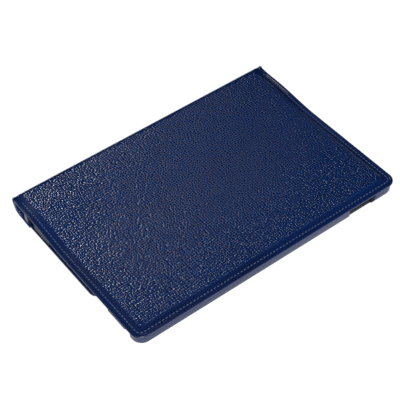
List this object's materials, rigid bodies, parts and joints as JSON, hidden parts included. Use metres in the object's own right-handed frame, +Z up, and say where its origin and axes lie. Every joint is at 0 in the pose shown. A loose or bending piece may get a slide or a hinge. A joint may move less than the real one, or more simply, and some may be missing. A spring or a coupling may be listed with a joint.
{
  "type": "tablet folio case",
  "caption": "Closed folio case for a tablet: padded grained cover, soft spine and back plate, with a hard tray between them that turns on a disc.",
  "frame": {"origin": "middle of the closed case on the surface that it lies on", "axes": "X along the spine, +Y towards the spine, +Z up through the cover"},
  "size_m": [0.258, 0.178, 0.0229],
  "materials": {
    "navy_leather": "pebble-grained, satin",
    "black_microfibre": "short nap",
    "navy_thread": "twisted thread",
    "fibre_board": "pressed",
    "grey_foam": "closed-cell foam",
    "black_plastic": "fine texture",
    "white_nylon": "smooth",
    "swivel_steel": "pressed and brushed",
    "magnet_nickel": "nickel plated"
  },
  "bodies": {
    "back_plate": {"back_plate_skin": "navy_leather", "back_plate_board": "fibre_board", "strut_board": "fibre_board", "back_plate_lining": "black_microfibre", "back_plate_stitching": "navy_thread", "swivel_back_cap": "navy_leather", "swivel_stud": "swivel_steel", "swivel_base": "swivel_steel", "swivel_base_rivets": "swivel_steel", "friction_washer": "white_nylon", "swivel_retainer": "swivel_steel"},
    "tray": {"swivel_disc": "black_plastic", "swivel_disc_rivets": "swivel_steel", "wave_washer": "swivel_steel", "tray_shell": "black_plastic", "tray_skin": "navy_leather", "tray_lining": "black_microfibre"},
    "spine_lower": {"spine_lower_skin": "navy_leather", "spine_lower_lining": "black_microfibre"},
    "spine_upper": {"spine_upper_skin": "navy_leather", "spine_upper_lining": "black_microfibre"},
    "cover": {"cover_skin": "navy_leather", "cover_padding": "grey_foam", "cover_board": "fibre_board", "cover_lining": "black_microfibre", "cover_ridges": "black_microfibre", "cover_magnets": "magnet_nickel", "cover_stitching": "navy_thread"}
  },
  "joints": [
    {"name": "spine_lower_fold", "type": "hinge", "parent": "back_plate", "child": "spine_lower", "pos_m": [0, 0.07145, 0], "axis": [-1, 0, 0], "range_deg": [0, 20], "deforming": ["spine_lower_skin", "spine_lower_lining"]},
    {"name": "spine_upper_fold", "type": "hinge", "parent": "spine_lower", "child": "spine_upper", "pos_m": [0, 0.08895, 0.008], "axis": [-1, 0, 0], "range_deg": [0, 76], "deforming": ["spine_upper_skin", "spine_upper_lining"]},
    {"name": "cover_fold", "type": "hinge", "parent": "spine_upper", "child": "cover", "pos_m": [0, 0.08895, 0.0229], "axis": [-1, 0, 0], "range_deg": [0, 85]},
    {"name": "tray_swivel", "type": "hinge", "parent": "back_plate", "child": "tray", "pos_m": [0.001, -0.00175, 0], "axis": [0, 0, 1], "continuous": true}
  ],
  "couplings": [
    {"joint": "spine_lower_fold", "follows": "cover_fold", "ratio": 0.23529},
    {"joint": "spine_upper_fold", "follows": "cover_fold", "ratio": 0.89412}
  ]
}
